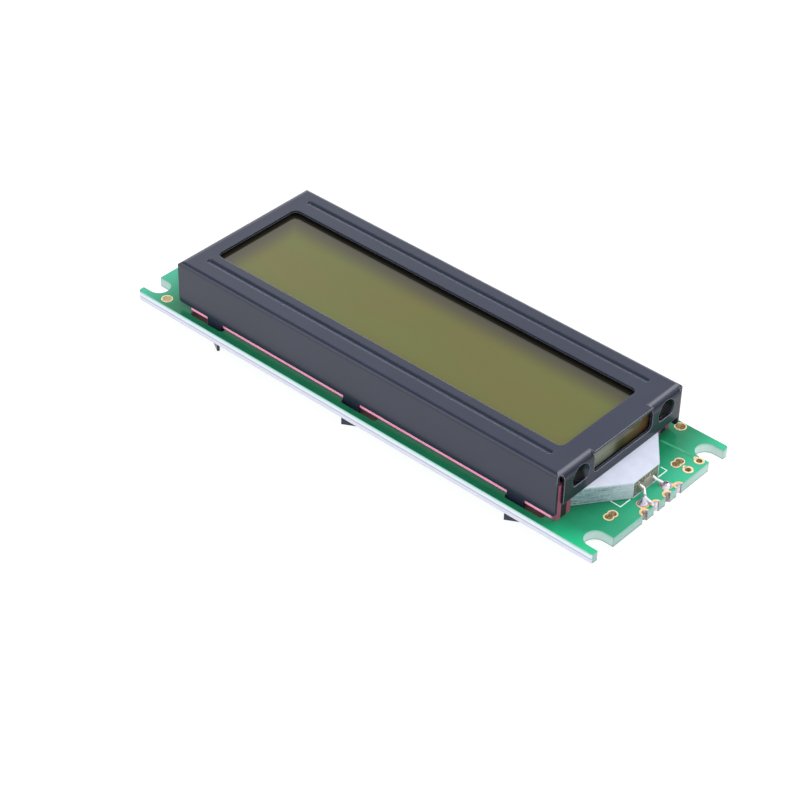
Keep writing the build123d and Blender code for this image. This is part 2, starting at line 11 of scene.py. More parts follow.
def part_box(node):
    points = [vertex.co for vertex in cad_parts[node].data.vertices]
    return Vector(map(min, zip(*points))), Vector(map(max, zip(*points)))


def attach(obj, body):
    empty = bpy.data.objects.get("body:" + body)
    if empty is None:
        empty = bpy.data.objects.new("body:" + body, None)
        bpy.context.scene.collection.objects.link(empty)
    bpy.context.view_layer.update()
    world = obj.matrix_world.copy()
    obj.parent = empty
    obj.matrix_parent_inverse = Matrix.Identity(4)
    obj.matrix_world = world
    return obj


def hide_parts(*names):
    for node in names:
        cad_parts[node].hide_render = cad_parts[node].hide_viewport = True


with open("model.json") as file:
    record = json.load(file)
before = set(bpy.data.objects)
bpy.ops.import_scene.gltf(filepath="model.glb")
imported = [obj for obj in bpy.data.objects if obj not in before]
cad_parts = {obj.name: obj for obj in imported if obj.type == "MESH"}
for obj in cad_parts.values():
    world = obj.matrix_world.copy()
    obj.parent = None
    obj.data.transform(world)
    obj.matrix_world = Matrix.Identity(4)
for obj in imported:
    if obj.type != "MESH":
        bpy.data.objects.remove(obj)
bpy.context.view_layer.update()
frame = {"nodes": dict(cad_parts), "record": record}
nodes = frame["nodes"]
MM = 0.001

# Levels read from the frame, in millimetres
BOARD_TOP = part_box("pcb")[1].z / MM
BOARD_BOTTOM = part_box("pcb")[0].z / MM
BOARD_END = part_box("pcb")[1].x / MM
BOARD_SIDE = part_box("pcb")[1].y / MM
BEZEL_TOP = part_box("bezel")[1].z / MM
WALL_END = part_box("bezel")[1].x / MM
GUIDE_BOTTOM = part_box("light_guide")[0].z / MM
TONGUE_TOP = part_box("tongue_film")[0].z / MM
TONGUE_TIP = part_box("light_guide")[1].x / MM
PAD_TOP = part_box("edge_contacts")[1].z / MM
CELL_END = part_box("rear_glass")[1].x / MM
CELL_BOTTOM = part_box("rear_polariser")[0].z / MM

# Steel edges look rounded by this radius, and thin prints reach this far into the board, in millimetres
EDGE_RADIUS = 0.16
PRINT_SINK = 0.01

# Distances from the bezel's middle line: just past the port, the window and the beads, and an end wall's side
PAST_PORT, PAST_WINDOW, PAST_BEADS, WALL_SIDE = 7.75, 9.0, 11.5, 12.8

# A face counts as lying flat where the upright part of its normal is over this
FLAT_FACE = 0.55

# Ranges of noise values that are spread from 0 to 1: the narrow one gives more contrast
NARROW = (0.35, 0.65)
WIDE = (0.3, 0.7)

# Sockets of the mix node when it mixes colours
MIX_FACTOR, MIX_FIRST, MIX_SECOND, MIX_RESULT = 0, 6, 7, 2


# Node helpers


def new_material(name):
    """An empty node material: returns the material, its node tree and its shader."""
    material = bpy.data.materials.new(name)
    material.use_nodes = True
    tree = material.node_tree
    tree.nodes.clear()
    output = tree.nodes.new("ShaderNodeOutputMaterial")
    shader = tree.nodes.new("ShaderNodeBsdfPrincipled")
    tree.links.new(shader.outputs["BSDF"], output.inputs["Surface"])
    return material, tree, shader


def add_node(tree, kind, inputs=None, **settings):
    """A node with its settings, and its inputs given as values or as sockets of other nodes."""
    node = tree.nodes.new(kind)
    for key, value in settings.items():
        setattr(node, key, value)
    for key, value in (inputs or {}).items():
        if isinstance(value, bpy.types.NodeSocket):
            tree.links.new(value, node.inputs[key])
        else:
            node.inputs[key].default_value = value
    return node


def place(tree, scale=(1, 1, 1), turn=(0, 0, 0)):
    """Object coordinates in millimetres, stretched by scale and turned."""
    coords = add_node(tree, "ShaderNodeTexCoord").outputs["Object"]
    size = tuple(share / MM for share in scale)
    mapping = add_node(tree, "ShaderNodeMapping", {"Vector": coords, "Scale": size, "Rotation": turn})
    return mapping.outputs["Vector"]


def noise(tree, vector, scale, detail=3.0, rough=0.5):
    """A noise value from 0 to 1, with scale in waves per millimetre."""
    node = add_node(tree, "ShaderNodeTexNoise",
                    {"Vector": vector, "Scale": scale, "Detail": detail, "Roughness": rough})
    return node.outputs["Fac"]


def remap(tree, value, low, high, to_low=0.0, to_high=1.0, ease="LINEAR"):
    """A value brought from one range to another and held inside it."""
    node = add_node(tree, "ShaderNodeMapRange", {
        "Value": value, "From Min": low, "From Max": high, "To Min": to_low, "To Max": to_high},
        interpolation_type=ease)
    return node.outputs["Result"]


def above(tree, value, edge, soft):
    """1 where a value is above an edge and 0 below it, with a ramp that reaches soft to both sides."""
    return remap(tree, value, edge - soft, edge + soft)


def below(tree, value, edge, soft):
    """1 where a value is below an edge and 0 above it, with a ramp that reaches soft to both sides."""
    return remap(tree, value, edge - soft, edge + soft, 1.0, 0.0)


def blend_colours(tree, factor, first, second):
    """One colour over another by a factor."""
    node = add_node(tree, "ShaderNodeMix", data_type="RGBA")
    for index, value in ((MIX_FACTOR, factor), (MIX_FIRST, first), (MIX_SECOND, second)):
        if isinstance(value, bpy.types.NodeSocket):
            tree.links.new(value, node.inputs[index])
        elif index == MIX_FACTOR:
            node.inputs[index].default_value = value
        else:
            node.inputs[index].default_value = (*value, 1.0)
    return node.outputs[MIX_RESULT]


def combine(tree, operation, first, second=0.0):
    """Arithmetic on two values."""
    return add_node(tree, "ShaderNodeMath", {0: first, 1: second}, operation=operation).outputs[0]


def product(tree, first, *others):
    """Several values multiplied together."""
    result = first
    for other in others:
        result = combine(tree, "MULTIPLY", result, other)
    return result


def rest_of(tree, value):
    """What a value leaves of 1."""
    return combine(tree, "SUBTRACT", 1.0, value)


def size_of(tree, value):
    """The value without its sign."""
    return combine(tree, "ABSOLUTE", value)


def dot_product(tree, first, second):
    """How much two directions agree: 1 when they are the same."""
    node = add_node(tree, "ShaderNodeVectorMath", {0: first, 1: second}, operation="DOT_PRODUCT")
    return node.outputs["Value"]


def split_position(tree):
    """The three object coordinates in millimetres, as values."""
    node = add_node(tree, "ShaderNodeSeparateXYZ", {0: place(tree)})
    return node.outputs["X"], node.outputs["Y"], node.outputs["Z"]


def face_normal(tree):
    """The direction that the face itself looks to."""
    return add_node(tree, "ShaderNodeNewGeometry").outputs["True Normal"]


def split_normal(tree):
    """The three parts of the face's normal, as values."""
    node = add_node(tree, "ShaderNodeSeparateXYZ", {0: face_normal(tree)})
    return node.outputs["X"], node.outputs["Y"], node.outputs["Z"]


def rounded_normal(tree, radius):
    """The normal as if edges were rounded by a radius in millimetres."""
    return add_node(tree, "ShaderNodeBevel", {"Radius": radius * MM}, samples=6).outputs["Normal"]


def bump(tree, shader, height, distance, strength, edge=0.0):
    """Relief from a height value, with the distance in millimetres, and edges softened by a radius."""
    inputs = {"Height": height, "Distance": distance * MM, "Strength": strength}
    if edge:
        inputs["Normal"] = rounded_normal(tree, edge)
    node = add_node(tree, "ShaderNodeBump", inputs)
    tree.links.new(node.outputs["Normal"], shader.inputs["Normal"])


def linear(red, green, blue):
    """A linear colour from 0 to 255 screen values, by the screens' standard curve."""
    values = []
    for channel in (red, green, blue):
        share = channel / 255.0
        values.append(share / 12.92 if share <= 0.04045 else ((share + 0.055) / 1.055) ** 2.4)
    return tuple(values)


# Materials


def mask_green(tree, along, across):
    """The mask's mottled green, paler where the board's ends catch the light."""
    mottled = noise(tree, place(tree), 0.3, 4.0, 0.6)
    green = blend_colours(tree, remap(tree, mottled, *NARROW), (0.009, 0.200, 0.090), (0.014, 0.228, 0.104))
    # The painted sheen of the ends, where they catch the light, is weaker in front of the tongue, and greyer on
    # the left
    beside_tongue = product(tree, above(tree, along, 31, 1), remap(tree, across, 6.0, -8.0, 0.0, 0.6),
                            above(tree, across, -12.1, 0.7))
    painted_sheen = remap(tree, size_of(tree, along), WALL_END + 0.3, BOARD_END + 0.3, ease="SMOOTHSTEP")
    painted_sheen = product(tree, painted_sheen, rest_of(tree, beside_tongue))
    pale = blend_colours(tree, remap(tree, along, -30, -40), (0.040, 0.50, 0.285), (0.050, 0.41, 0.255))
    green = blend_colours(tree, painted_sheen, green, pale)
    # A painted highlight makes the front corner at the lamp end the brightest
    corner = product(tree, remap(tree, along, 31, 39), remap(tree, across, -11.8, -14.8, 0.0, 0.8))
    return blend_colours(tree, corner, green, (0.018, 0.52, 0.23))


def cut_laminate(tree, along, across, height):
    """The board's cut sides: pale upper layer, thin grey seam, slightly darker lower layer."""
    reach, spread = size_of(tree, along), size_of(tree, across)
    fibre = remap(tree, noise(tree, place(tree, (3, 3, 22)), 0.5, 3.0, 0.7), *WIDE)
    upper = blend_colours(tree, fibre, linear(206, 219, 228), linear(229, 238, 245))
    lower = blend_colours(tree, fibre, linear(202, 203, 219), linear(222, 222, 236))
    seam_level = BOARD_BOTTOM + 0.45 * (BOARD_TOP - BOARD_BOTTOM)
    laminate = blend_colours(tree, above(tree, height, seam_level, 0.02), lower, upper)
    seam_distance = size_of(tree, combine(tree, "SUBTRACT", height, seam_level))
    seam = remap(tree, seam_distance, 0.04, 0.12, 0.8, 0.0)
    laminate = blend_colours(tree, seam, laminate, linear(150, 157, 176))
    # The routed ends show green glass cloth, paler in the slots and greyer at its foot
    cloth = blend_colours(tree, fibre, linear(128, 167, 158), linear(162, 196, 188))
    cloth = blend_colours(tree, remap(tree, across, 2.0, 10.0, 0.0, 0.7), cloth, linear(186, 212, 202))
    in_slot = remap(tree, reach, BOARD_END - 0.08, BOARD_END - 0.2, 0.0, 0.5)
    cloth = blend_colours(tree, in_slot, cloth, linear(206, 226, 222))
    foot = remap(tree, height, BOARD_BOTTOM + 0.3, BOARD_BOTTOM + 0.05, 0.0, 0.6)
    cloth = blend_colours(tree, foot, cloth, linear(112, 122, 118))
    long_side = remap(tree, spread, BOARD_SIDE - 0.2, BOARD_SIDE - 0.05)
    laminate = blend_colours(tree, long_side, cloth, laminate)
    # The mask stains the upper edge, and the slots for the bezel's tabs are the brown of bare laminate darkened
    # with painted shade, since light hardly gets into them
    stain = remap(tree, height, BOARD_TOP - 0.4, BOARD_TOP - 0.02, 0.0, 0.8)
    laminate = blend_colours(tree, stain, laminate, linear(92, 178, 146))
    tab_slot = product(tree, below(tree, reach, WALL_END + 1.05, 0.05),
                       below(tree, spread, BOARD_SIDE - 0.4, 0.05))
    return blend_colours(tree, tab_slot, laminate, linear(84, 66, 58))


def solder_mask():
    """Green mask on the board's faces, and bare laminate on its cut sides."""
    material, tree, shader = new_material("solder_mask")
    along, across, height = split_position(tree)
    _, _, up = split_normal(tree)
    side = below(tree, size_of(tree, up), FLAT_FACE, 0.05)
    green = mask_green(tree, along, across)
    tone = blend_colours(tree, side, green, cut_laminate(tree, along, across, height))
    tree.links.new(tone, shader.inputs["Base Color"])
    tree.links.new(remap(tree, side, 0, 1, 0.2, 0.75), shader.inputs["Roughness"])
    shader.inputs["Specular IOR Level"].default_value = 0.3
    bump(tree, shader, noise(tree, place(tree), 2.2, 2.0), 0.008, 0.3)
    return material


def painted_edge_highlights(tree, reach, spread, height):
    """Where the end walls' cut edges get a painted highlight, as if rounded edges caught the light, hardly at
    all down the walls' own sides.
    """
    likeness = dot_product(tree, rounded_normal(tree, EDGE_RADIUS), face_normal(tree))
    edge_highlight = product(tree, remap(tree, likeness, 0.985, 0.9, 0.0, 0.6),
                     above(tree, reach, WALL_END - 2.3, 0.2))
    lower_side = product(tree, above(tree, spread, WALL_SIDE - 0.05, 0.15),
                         remap(tree, height, BEZEL_TOP - 1.2, BEZEL_TOP - 2.0, 0.0, 0.8))
    return product(tree, edge_highlight, rest_of(tree, lower_side))


def dimple_hollows(tree, reach, spread, height):
    """Where the torn dimples of the end walls lie in the dark."""
    return product(tree, below(tree, reach, WALL_END - 0.2, 0.1), above(tree, reach, WALL_END - 2.1, 0.1),
                   below(tree, height, BEZEL_TOP - 0.9, 0.2),
                   above(tree, spread, PAST_PORT, 0.15), below(tree, spread, WALL_SIDE, 0.1))


def bezel_paint():
    """Satin blue-black coat over steel, with fine grain and faint rubs, and painted highlights and shade."""
    material, tree, shader = new_material("bezel_paint")
    along, across, height = split_position(tree)
    reach, spread = size_of(tree, along), size_of(tree, across)
    endward, sideward, _ = split_normal(tree)
    grain = noise(tree, place(tree), 7.0, 3.0, 0.6)
    cloud = noise(tree, place(tree), 0.12, 3.0, 0.5)
    rubs = noise(tree, place(tree, (0.3, 5, 5), (0, 0, radians(12))), 0.9, 5.0, 0.7)
    tone = blend_colours(tree, remap(tree, cloud, *WIDE), linear(42, 47, 65), linear(46, 51, 69))
    tone = blend_colours(tree, remap(tree, rubs, 0.7, 0.85, 0.0, 0.12), tone, linear(110, 116, 132))
    # Painted shade: the lamp end wall and the front wall are darkened by which way they face
    tone = blend_colours(tree, remap(tree, endward, 0.55, 0.95, 0.0, 0.6), tone, linear(18, 26, 28))
    tone = blend_colours(tree, remap(tree, sideward, -0.7, -0.95, 0.0, 0.35), tone, linear(20, 25, 42))
    # Painted highlight on the end walls' cut edges, as if they were rounded and caught the light
    tone = blend_colours(tree, painted_edge_highlights(tree, reach, spread, height), tone, linear(168, 174, 190))
    # Painted shade in the hollows behind the end walls' dimples
    hollow = dimple_hollows(tree, reach, spread, height)
    tone = blend_colours(tree, product(tree, hollow, 0.9), tone, linear(8, 11, 13))
    # Painted light on the beads' floor, which the grooves' walls leave too dark, and a painted highlight on the
    # side of each bead that looks to the front
    inside = below(tree, spread, PAST_BEADS, 0.1)
    bead_floor_light = product(tree, below(tree, height, BEZEL_TOP - 0.29, 0.07),
                         below(tree, reach, WALL_END - 2.8, 0.1), inside)
    tone = blend_colours(tree, bead_floor_light, tone, linear(100, 106, 124))
    bead_side_highlight = product(tree, remap(tree, sideward, -0.45, -0.8), above(tree, height, BEZEL_TOP - 0.45, 0.05),
                        above(tree, spread, PAST_WINDOW, 0.1), inside)
    tone = blend_colours(tree, bead_side_highlight, tone, linear(62, 67, 83))
    tree.links.new(tone, shader.inputs["Base Color"])
    tree.links.new(remap(tree, grain, *WIDE, 0.22, 0.27), shader.inputs["Roughness"])
    # Weaker reflection in the dimples' hollows and on the lamp end wall, as painted shade that darkens them
    dulled_reflection = combine(tree, "MAXIMUM", hollow, remap(tree, endward, 0.8, 1.0, 0.0, 0.4))
    tree.links.new(remap(tree, dulled_reflection, 0.0, 1.0, 0.42, 0.1), shader.inputs["Specular IOR Level"])
    bump(tree, shader, grain, 0.001, 0.2, EDGE_RADIUS)
    return material


def display_film():
    """The olive cell seen through its glossy front film, with painted shade that makes it greyer along the
    frame's rear and left sides.
    """
    material, tree, shader = new_material("display_film")
    low, high = (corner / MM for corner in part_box("front_polariser"))
    along, across, _ = split_position(tree)
    cloud = noise(tree, place(tree, (0.5, 1, 1)), 0.09, 2.0, 0.5)
    tone = blend_colours(tree, remap(tree, cloud, *NARROW), linear(95, 99, 42), linear(100, 94, 42))
    rear_shade = remap(tree, across, high.y - 6.4, high.y - 2.0, ease="SMOOTHSTEP")
    left_shade = remap(tree, along, low.x + 1.8, low.x + 6.0, 1.0, 0.0, "SMOOTHSTEP")
    shade = combine(tree, "MAXIMUM", rear_shade, left_shade)
    tone = blend_colours(tree, product(tree, shade, 0.9), tone, linear(62, 56, 46))
    # Painted shade: a dark line right beside the window's edge
    rear_line = remap(tree, across, high.y - 2.3, high.y - 1.7, ease="SMOOTHSTEP")
    left_line = remap(tree, along, low.x + 1.5, low.x + 2.0, 1.0, 0.0, "SMOOTHSTEP")
    line = combine(tree, "MAXIMUM", rear_line, left_line)
    tone = blend_colours(tree, product(tree, line, 0.9), tone, linear(22, 20, 12))
    tree.links.new(tone, shader.inputs["Base Color"])
    dust = noise(tree, place(tree), 1.5, 4.0, 0.7)
    tree.links.new(remap(tree, dust, 0.3, 0.75, 0.04, 0.09), shader.inputs["Roughness"])
    return material


def layered(name, low, high, rough, scale=1.5, relief=0.01, spec=0.5):
    """A plain moulded or coated stuff with soft variation in tone and sheen."""
    material, tree, shader = new_material(name)
    value = noise(tree, place(tree), scale, 4.0, 0.6)
    fine = noise(tree, place(tree), scale * 7, 2.0, 0.5)
    tree.links.new(blend_colours(tree, remap(tree, value, *NARROW), low, high), shader.inputs["Base Color"])
    tree.links.new(remap(tree, fine, *WIDE, rough - 0.06, rough + 0.08), shader.inputs["Roughness"])
    shader.inputs["Specular IOR Level"].default_value = spec
    bump(tree, shader, fine, relief, 0.3)
    return material


def cell_glass():
    """Glass of the cell where its cut ends show: olive, browner towards the rear, with a frosted cut."""
    material, tree, shader = new_material("cell_glass")
    _, across, _ = split_position(tree)
    chips = noise(tree, place(tree, (1, 4, 4)), 1.2, 4.0, 0.7)
    tone = blend_colours(tree, remap(tree, chips, *WIDE), linear(92, 96, 66), linear(112, 114, 82))
    tone = blend_colours(tree, remap(tree, across, 0.0, 6.0), tone, linear(74, 62, 38))
    tree.links.new(tone, shader.inputs["Base Color"])
    tree.links.new(remap(tree, chips, *WIDE, 0.12, 0.35), shader.inputs["Roughness"])
    bump(tree, shader, chips, 0.02, 0.3)
    return material


def port_view():
    """The cell's end seen through the port: olive, brown towards the rear, and black shade below."""
    material, tree, shader = new_material("cell_end")
    _, across, height = split_position(tree)
    tone = blend_colours(tree, remap(tree, across, -5.5, 0.5), linear(120, 126, 94), linear(78, 79, 42))
    tone = blend_colours(tree, remap(tree, across, 0.0, 5.5), tone, linear(90, 68, 44))
    low_front = product(tree, remap(tree, height, BEZEL_TOP - 1.75, BEZEL_TOP - 2.75),
                        remap(tree, across, 0.5, -2.5))
    tone = blend_colours(tree, low_front, tone, linear(126, 134, 122))
    # A blurred dark band where the olive turns brown
    band_middle = 0.3
    distance = size_of(tree, combine(tree, "SUBTRACT", across, band_middle))
    band = remap(tree, distance, 0.3, 1.7, 0.6, 0.0, "SMOOTHSTEP")
    tone = blend_colours(tree, band, tone, linear(50, 48, 30))
    streaks = noise(tree, place(tree, (1, 0.4, 5)), 1.0, 4.0, 0.6)
    tone = blend_colours(tree, remap(tree, streaks, 0.35, 0.7, 0.0, 0.25), tone, linear(90, 88, 60))
    shade = below(tree, height, CELL_BOTTOM - 0.5, 0.04)
    tone = blend_colours(tree, shade, tone, linear(14, 15, 16))
    tree.links.new(tone, shader.inputs["Base Color"])
    tree.links.new(remap(tree, shade, 0, 1, 0.12, 0.9), shader.inputs["Roughness"])
    shader.inputs["Specular IOR Level"].default_value = 0.3
    return material


def clear_guide():
    """Clear acrylic: sawn sides frosted with long fine marks, with painted shade making it dark where the plate
    lies under the bezel.
    """
    material, tree, shader = new_material("clear_guide")
    along, _, height = split_position(tree)
    marks = noise(tree, place(tree, (0.5, 0.5, 5), (0, radians(9), 0)), 0.9, 6.0, 0.75)
    cross = noise(tree, place(tree, (3, 3, 1), (0, radians(-14), 0)), 1.1, 4.0, 0.7)
    tone = blend_colours(tree, remap(tree, marks, 0.32, 0.68), linear(74, 108, 112), linear(168, 192, 198))
    tone = blend_colours(tree, remap(tree, cross, 0.5, 0.75, 0.0, 0.6), tone, linear(200, 216, 222))
    # Painted light: the sides brighten towards the tip and along their upper rim
    tipward = remap(tree, along, WALL_END + 0.7, TONGUE_TIP, 0.0, 0.55, "SMOOTHSTEP")
    tone = blend_colours(tree, tipward, tone, linear(206, 216, 226))
    rim = remap(tree, height, TONGUE_TOP - 0.28, TONGUE_TOP - 0.02, 0.0, 0.6)
    tone = blend_colours(tree, rim, tone, linear(212, 224, 232))
    # Painted shade: near black where the plate lies under the bezel
    plate = above(tree, height, TONGUE_TOP + 0.05, 0.03)
    tone = blend_colours(tree, plate, tone, linear(22, 23, 20))
    tree.links.new(tone, shader.inputs["Base Color"])
    tree.links.new(remap(tree, marks, *WIDE, 0.2, 0.45), shader.inputs["Roughness"])
    shader.inputs["IOR"].default_value = 1.49
    bump(tree, shader, marks, 0.03, 0.4)
    return material


def opal_plate():
    """Milky plate behind the cell, taking the cell's olive in the bezel's shade."""
    material, tree, shader = new_material("opal_plate")
    _, across, _ = split_position(tree)
    value = noise(tree, place(tree), 0.8, 3.0, 0.6)
    tone = blend_colours(tree, remap(tree, value, *WIDE), linear(112, 114, 92), linear(130, 132, 110))
    tone = blend_colours(tree, remap(tree, across, 0.0, 6.0), tone, linear(64, 56, 38))
    tree.links.new(tone, shader.inputs["Base Color"])
    shader.inputs["Roughness"].default_value = 0.4
    return material


def strip_pink():
    """Soft pink silicone with fine slanting lines, a little painted glow, and painted shade of dull red at its
    lamp end.
    """
    material, tree, shader = new_material("strip_pink")
    along, across, _ = split_position(tree)
    slant = place(tree, (1, 0, 1), (0, radians(25), 0))
    lines = add_node(tree, "ShaderNodeTexWave",
                     {"Vector": slant, "Scale": 1.1, "Distortion": 0.8, "Detail": 2.0}).outputs["Fac"]
    cloud = noise(tree, place(tree), 0.6, 3.0)
    tone = blend_colours(tree, remap(tree, lines, 0.2, 0.8), linear(246, 150, 186), linear(255, 172, 206))
    tone = blend_colours(tree, remap(tree, cloud, 0.4, 0.7, 0.0, 0.4), tone, linear(236, 132, 168))
    # Painted shade at the strips' lamp ends, reaching further in on the rear strip
    tip = remap(tree, along, WALL_END - 1.6, WALL_END - 1.1)
    rear_tip = remap(tree, along, WALL_END - 3.3, WALL_END - 2.8)
    end = combine(tree, "MAXIMUM", tip, product(tree, rear_tip, remap(tree, across, 0.0, 1.0)))
    tone = blend_colours(tree, product(tree, end, 0.85), tone, linear(128, 56, 76))
    tree.links.new(tone, shader.inputs["Base Color"])
    # Painted glow: the pink gives off a little light of its own, none at the shaded ends
    tree.links.new(tone, shader.inputs["Emission Color"])
    tree.links.new(remap(tree, end, 0, 1, 0.34, 0.0), shader.inputs["Emission Strength"])
    shader.inputs["Roughness"].default_value = 0.55
    shader.inputs["Subsurface Weight"].default_value = 0.15
    shader.inputs["Subsurface Radius"].default_value = (1.0 * MM, 0.4 * MM, 0.5 * MM)
    bump(tree, shader, lines, 0.01, 0.3)
    return material


def potting_resin():
    """Cloudy resin with a mottled broken surface."""
    material, tree, shader = new_material("potting_resin")
    cells = add_node(tree, "ShaderNodeTexVoronoi", {"Vector": place(tree), "Scale": 1.9})
    value = noise(tree, place(tree), 2.4, 6.0, 0.72)
    tone = blend_colours(tree, remap(tree, value, 0.38, 0.62), linear(50, 48, 30), linear(150, 148, 132))
    tone = blend_colours(tree, remap(tree, value, 0.58, 0.7, 0.0, 0.8), tone, linear(205, 206, 200))
    tree.links.new(tone, shader.inputs["Base Color"])
    shader.inputs["Roughness"].default_value = 0.25
    bump(tree, shader, combine(tree, "ADD", value, cells.outputs["Distance"]), 0.12, 0.6)
    return material


def bright_metal(name, low, high, rough, scale=3.0, relief=0.02, metallic=0.9):
    """Soldered or tinned metal with a cloudy bloom."""
    material, tree, shader = new_material(name)
    value = noise(tree, place(tree), scale, 5.0, 0.65)
    tree.links.new(blend_colours(tree, remap(tree, value, *NARROW), low, high), shader.inputs["Base Color"])
    tree.links.new(remap(tree, value, *WIDE, rough - 0.06, rough + 0.1), shader.inputs["Roughness"])
    shader.inputs["Metallic"].default_value = metallic
    bump(tree, shader, value, relief, 0.5)
    return material


def gold_plating(name, face_low, face_high, bore_low, bore_high):
    """Pale gold on the pads' faces, darker and blotched down the bores, which are paler at the left end."""
    material, tree, shader = new_material(name)
    along, _, _ = split_position(tree)
    _, _, up = split_normal(tree)
    value = noise(tree, place(tree), 2.2, 5.0, 0.65)
    pad = blend_colours(tree, remap(tree, value, *NARROW), face_low, face_high)
    bore = blend_colours(tree, remap(tree, value, 0.4, 0.62), bore_low, bore_high)
    bore = blend_colours(tree, remap(tree, along, 0.0, -38.0, 0.0, 0.6), bore, linear(250, 240, 206))
    flat = above(tree, size_of(tree, up), FLAT_FACE, 0.05)
    tree.links.new(blend_colours(tree, flat, bore, pad), shader.inputs["Base Color"])
    tree.links.new(remap(tree, value, *WIDE, 0.28, 0.42), shader.inputs["Roughness"])
    shader.inputs["Metallic"].default_value = 0.2
    bump(tree, shader, value, 0.015, 0.5)
    return material


def floor_paper():
    """A pale sheet, lit evenly from below as on a light table."""
    material, tree, shader = new_material("floor_paper")
    value = noise(tree, place(tree), 0.01, 2.0)
    tone = blend_colours(tree, value, (0.20, 0.20, 0.20), (0.24, 0.24, 0.24))
    tree.links.new(tone, shader.inputs["Base Color"])
    shader.inputs["Roughness"].default_value = 0.9
    shader.inputs["Specular IOR Level"].default_value = 0.1
    shader.inputs["Emission Color"].default_value = (1.0, 1.0, 1.0, 1.0)
    shader.inputs["Emission Strength"].default_value = 0.9
    return material


materials = {
    "pcb": solder_mask(),
    "bezel_steel": bezel_paint(),
    "polariser": display_film(),
    "cell_glass": cell_glass(),
    "cell_seal": layered("cell_seal", linear(70, 68, 50), linear(84, 82, 62), 0.55),
    "rear_polariser": layered("rear_polariser", linear(84, 84, 62), linear(98, 98, 74), 0.4),
    "opal_plate": opal_plate(),
    "clear_guide": clear_guide(),
    "white_film": layered("white_film", linear(211, 216, 233), linear(218, 223, 239), 0.4, 0.6, 0.004, 0.3),
    "lamp_body": layered("lamp_body", linear(140, 130, 122), linear(168, 158, 150), 0.3),
    "potting": potting_resin(),
    "tinned_wire": bright_metal("tinned_wire", linear(224, 220, 226), linear(250, 247, 252), 0.3,
                                metallic=0.55),
    "solder": bright_metal("solder", linear(172, 169, 186), linear(226, 223, 238), 0.24, 1.6, 0.05),
    "strip_core": layered("strip_core", linear(24, 20, 24), linear(34, 28, 32), 0.6),
    "pink_elastomer": strip_pink(),
    "plating": gold_plating("gold_plating", linear(240, 206, 150), linear(254, 238, 208),
                            linear(150, 118, 66), linear(226, 206, 166)),
    "globtop_resin": layered("globtop_resin", linear(16, 16, 17), linear(26, 26, 28), 0.2, 0.5, 0.03),
    "resistor_body": layered("resistor_body", linear(34, 34, 38), linear(48, 48, 54), 0.3),
    "capacitor_body": layered("capacitor_body", linear(170, 138, 104), linear(188, 156, 120), 0.45),
}

node_slots = {entry["node"]: entry["material_slot"] for entry in frame["record"]["subparts"]}


def paint(thing, material):
    """Gives an object one material on every face."""
    thing.data.materials.clear()
    thing.data.materials.append(material)


for node_name, thing in nodes.items():
    paint(thing, materials[node_slots[node_name]])
paint(nodes["edge_contacts"], gold_plating("edge_plating", linear(232, 180, 112), linear(250, 218, 164),
                                           linear(112, 98, 96), linear(176, 166, 168)))


# Added pieces


def build_piece(name, grid, material, smooth=False):
    """A mesh from a bmesh in millimetres, riding on the module and painted with one material."""
    bmesh.ops.recalc_face_normals(grid, faces=grid.faces[:])
    for face in grid.faces:
        face.smooth = smooth
    bmesh.ops.scale(grid, vec=(MM, MM, MM), verts=grid.verts[:])
    mesh = bpy.data.meshes.new(name)
    grid.to_mesh(mesh)
    grid.free()
    piece = bpy.data.objects.new(name, mesh)
    bpy.context.collection.objects.link(piece)
    paint(piece, material)
    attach(piece, "root")
    return piece


def join_rings(grid, rings):
    """Faces from each ring of points to the next, and one face over each end."""
    for ring, following in zip(rings, rings[1:]):
        for index in range(len(ring)):
            after = (index + 1) % len(ring)
            grid.faces.new((ring[index], ring[after], following[after], following[index]))
    grid.faces.new(rings[0][::-1])
    grid.faces.new(rings[-1])


def add_prism(grid, outline, low, high):
    """A closed plate of a flat outline between two heights."""
    join_rings(grid, [[grid.verts.new((x, y, level)) for x, y in outline] for level in (low, high)])


def line_outline(points, width):
    """Outline of a flat line with mitred corners and square ends."""
    sharpest = 0.4
    left, right = [], []
    for index, (x, y) in enumerate(points):
        before = points[max(index - 1, 0)]
        after = points[min(index + 1, len(points) - 1)]
        steps = []
        if before != (x, y):
            steps.append(Vector((x - before[0], y - before[1])).normalized())
        if after != (x, y):
            steps.append(Vector((after[0] - x, after[1] - y)).normalized())
        heading = sum(steps, Vector((0, 0))).normalized()
        reach = width / 2 / max(heading.dot(steps[0]), sharpest)
        left.append((x - heading.y * reach, y + heading.x * reach))
        right.append((x + heading.y * reach, y - heading.x * reach))
    return left + right[::-1]


def make_silkscreen():
    """Two printed corners on the board beside the tongue's tip."""
    line_width, line_rise = 0.17, 0.02
    front_corner = ((37.63, -5.0), (39.38, -5.04), (39.4, -2.95))
    rear_corner = ((38.33, 5.19), (39.38, 5.17), (39.37, 3.2))
    material = layered("silkscreen_ink", linear(196, 232, 216), linear(226, 246, 236), 0.6, 2.0)
    grid = bmesh.new()
    for points in (front_corner, rear_corner):
        add_prism(grid, line_outline(points, line_width), BOARD_TOP - PRINT_SINK, BOARD_TOP + line_rise)
    build_piece("silkscreen", grid, material)


def make_trace():
    """One track under the mask, from below the bezel to a small plated hole."""
    track_width, track_rise = 0.42, 0.025
    points = ((WALL_END - 0.6, 9.72), (39.9, 10.03), (40.5, 10.05))
    material = layered("masked_track", (0.040, 0.34, 0.15), (0.055, 0.38, 0.18), 0.3, 0.8, 0.01, 0.3)
    grid = bmesh.new()
    add_prism(grid, line_outline(points, track_width), BOARD_TOP - PRINT_SINK, BOARD_TOP + track_rise)
    build_piece("track", grid, material)


